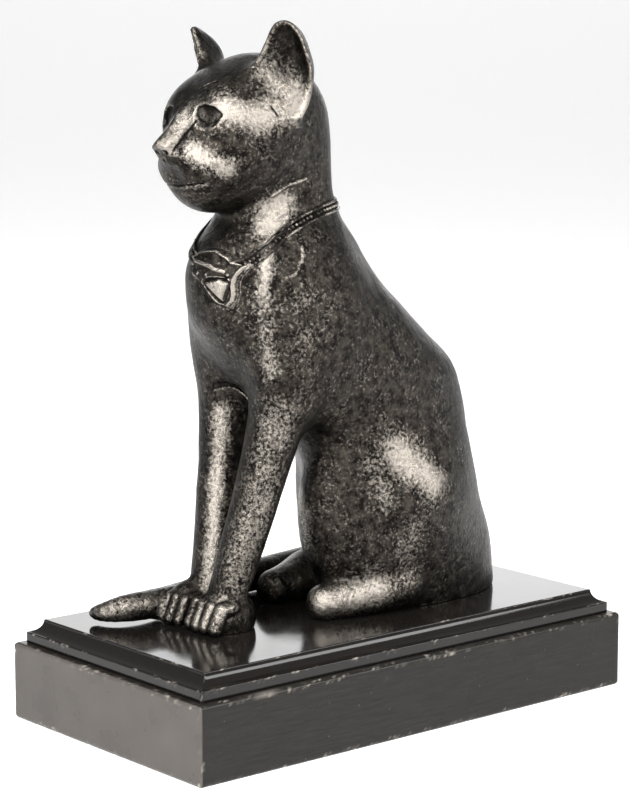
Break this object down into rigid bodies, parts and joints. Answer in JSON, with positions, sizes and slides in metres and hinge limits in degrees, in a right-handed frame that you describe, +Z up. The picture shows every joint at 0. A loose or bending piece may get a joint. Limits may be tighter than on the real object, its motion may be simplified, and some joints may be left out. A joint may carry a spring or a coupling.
{
  "type": "seated cat statuette",
  "caption": "Seated bronze cat with upright ears, beaded collar and pendant, tail laid forward along its right side, on a stepped wooden plinth with a hollow moulding.",
  "frame": {"origin": "middle of the plinth's underside", "axes": "+Z up; -Y is the way the cat looks, along the plinth's length; +X is the cat's left side"},
  "size_m": [0.166, 0.3, 0.375],
  "materials": {
    "bronze": "dark patinated bronze, granular, polished on the high places by handling",
    "ebonised_wood": "satin black lacquer over fine-grained wood, with small chips along the edges",
    "polished_wood": "glossy black polish that mirrors the paws"
  },
  "bodies": {
    "root": {"cat_figure": "bronze", "plinth_board": "polished_wood", "plinth_block": "ebonised_wood"}
  },
  "joints": []
}
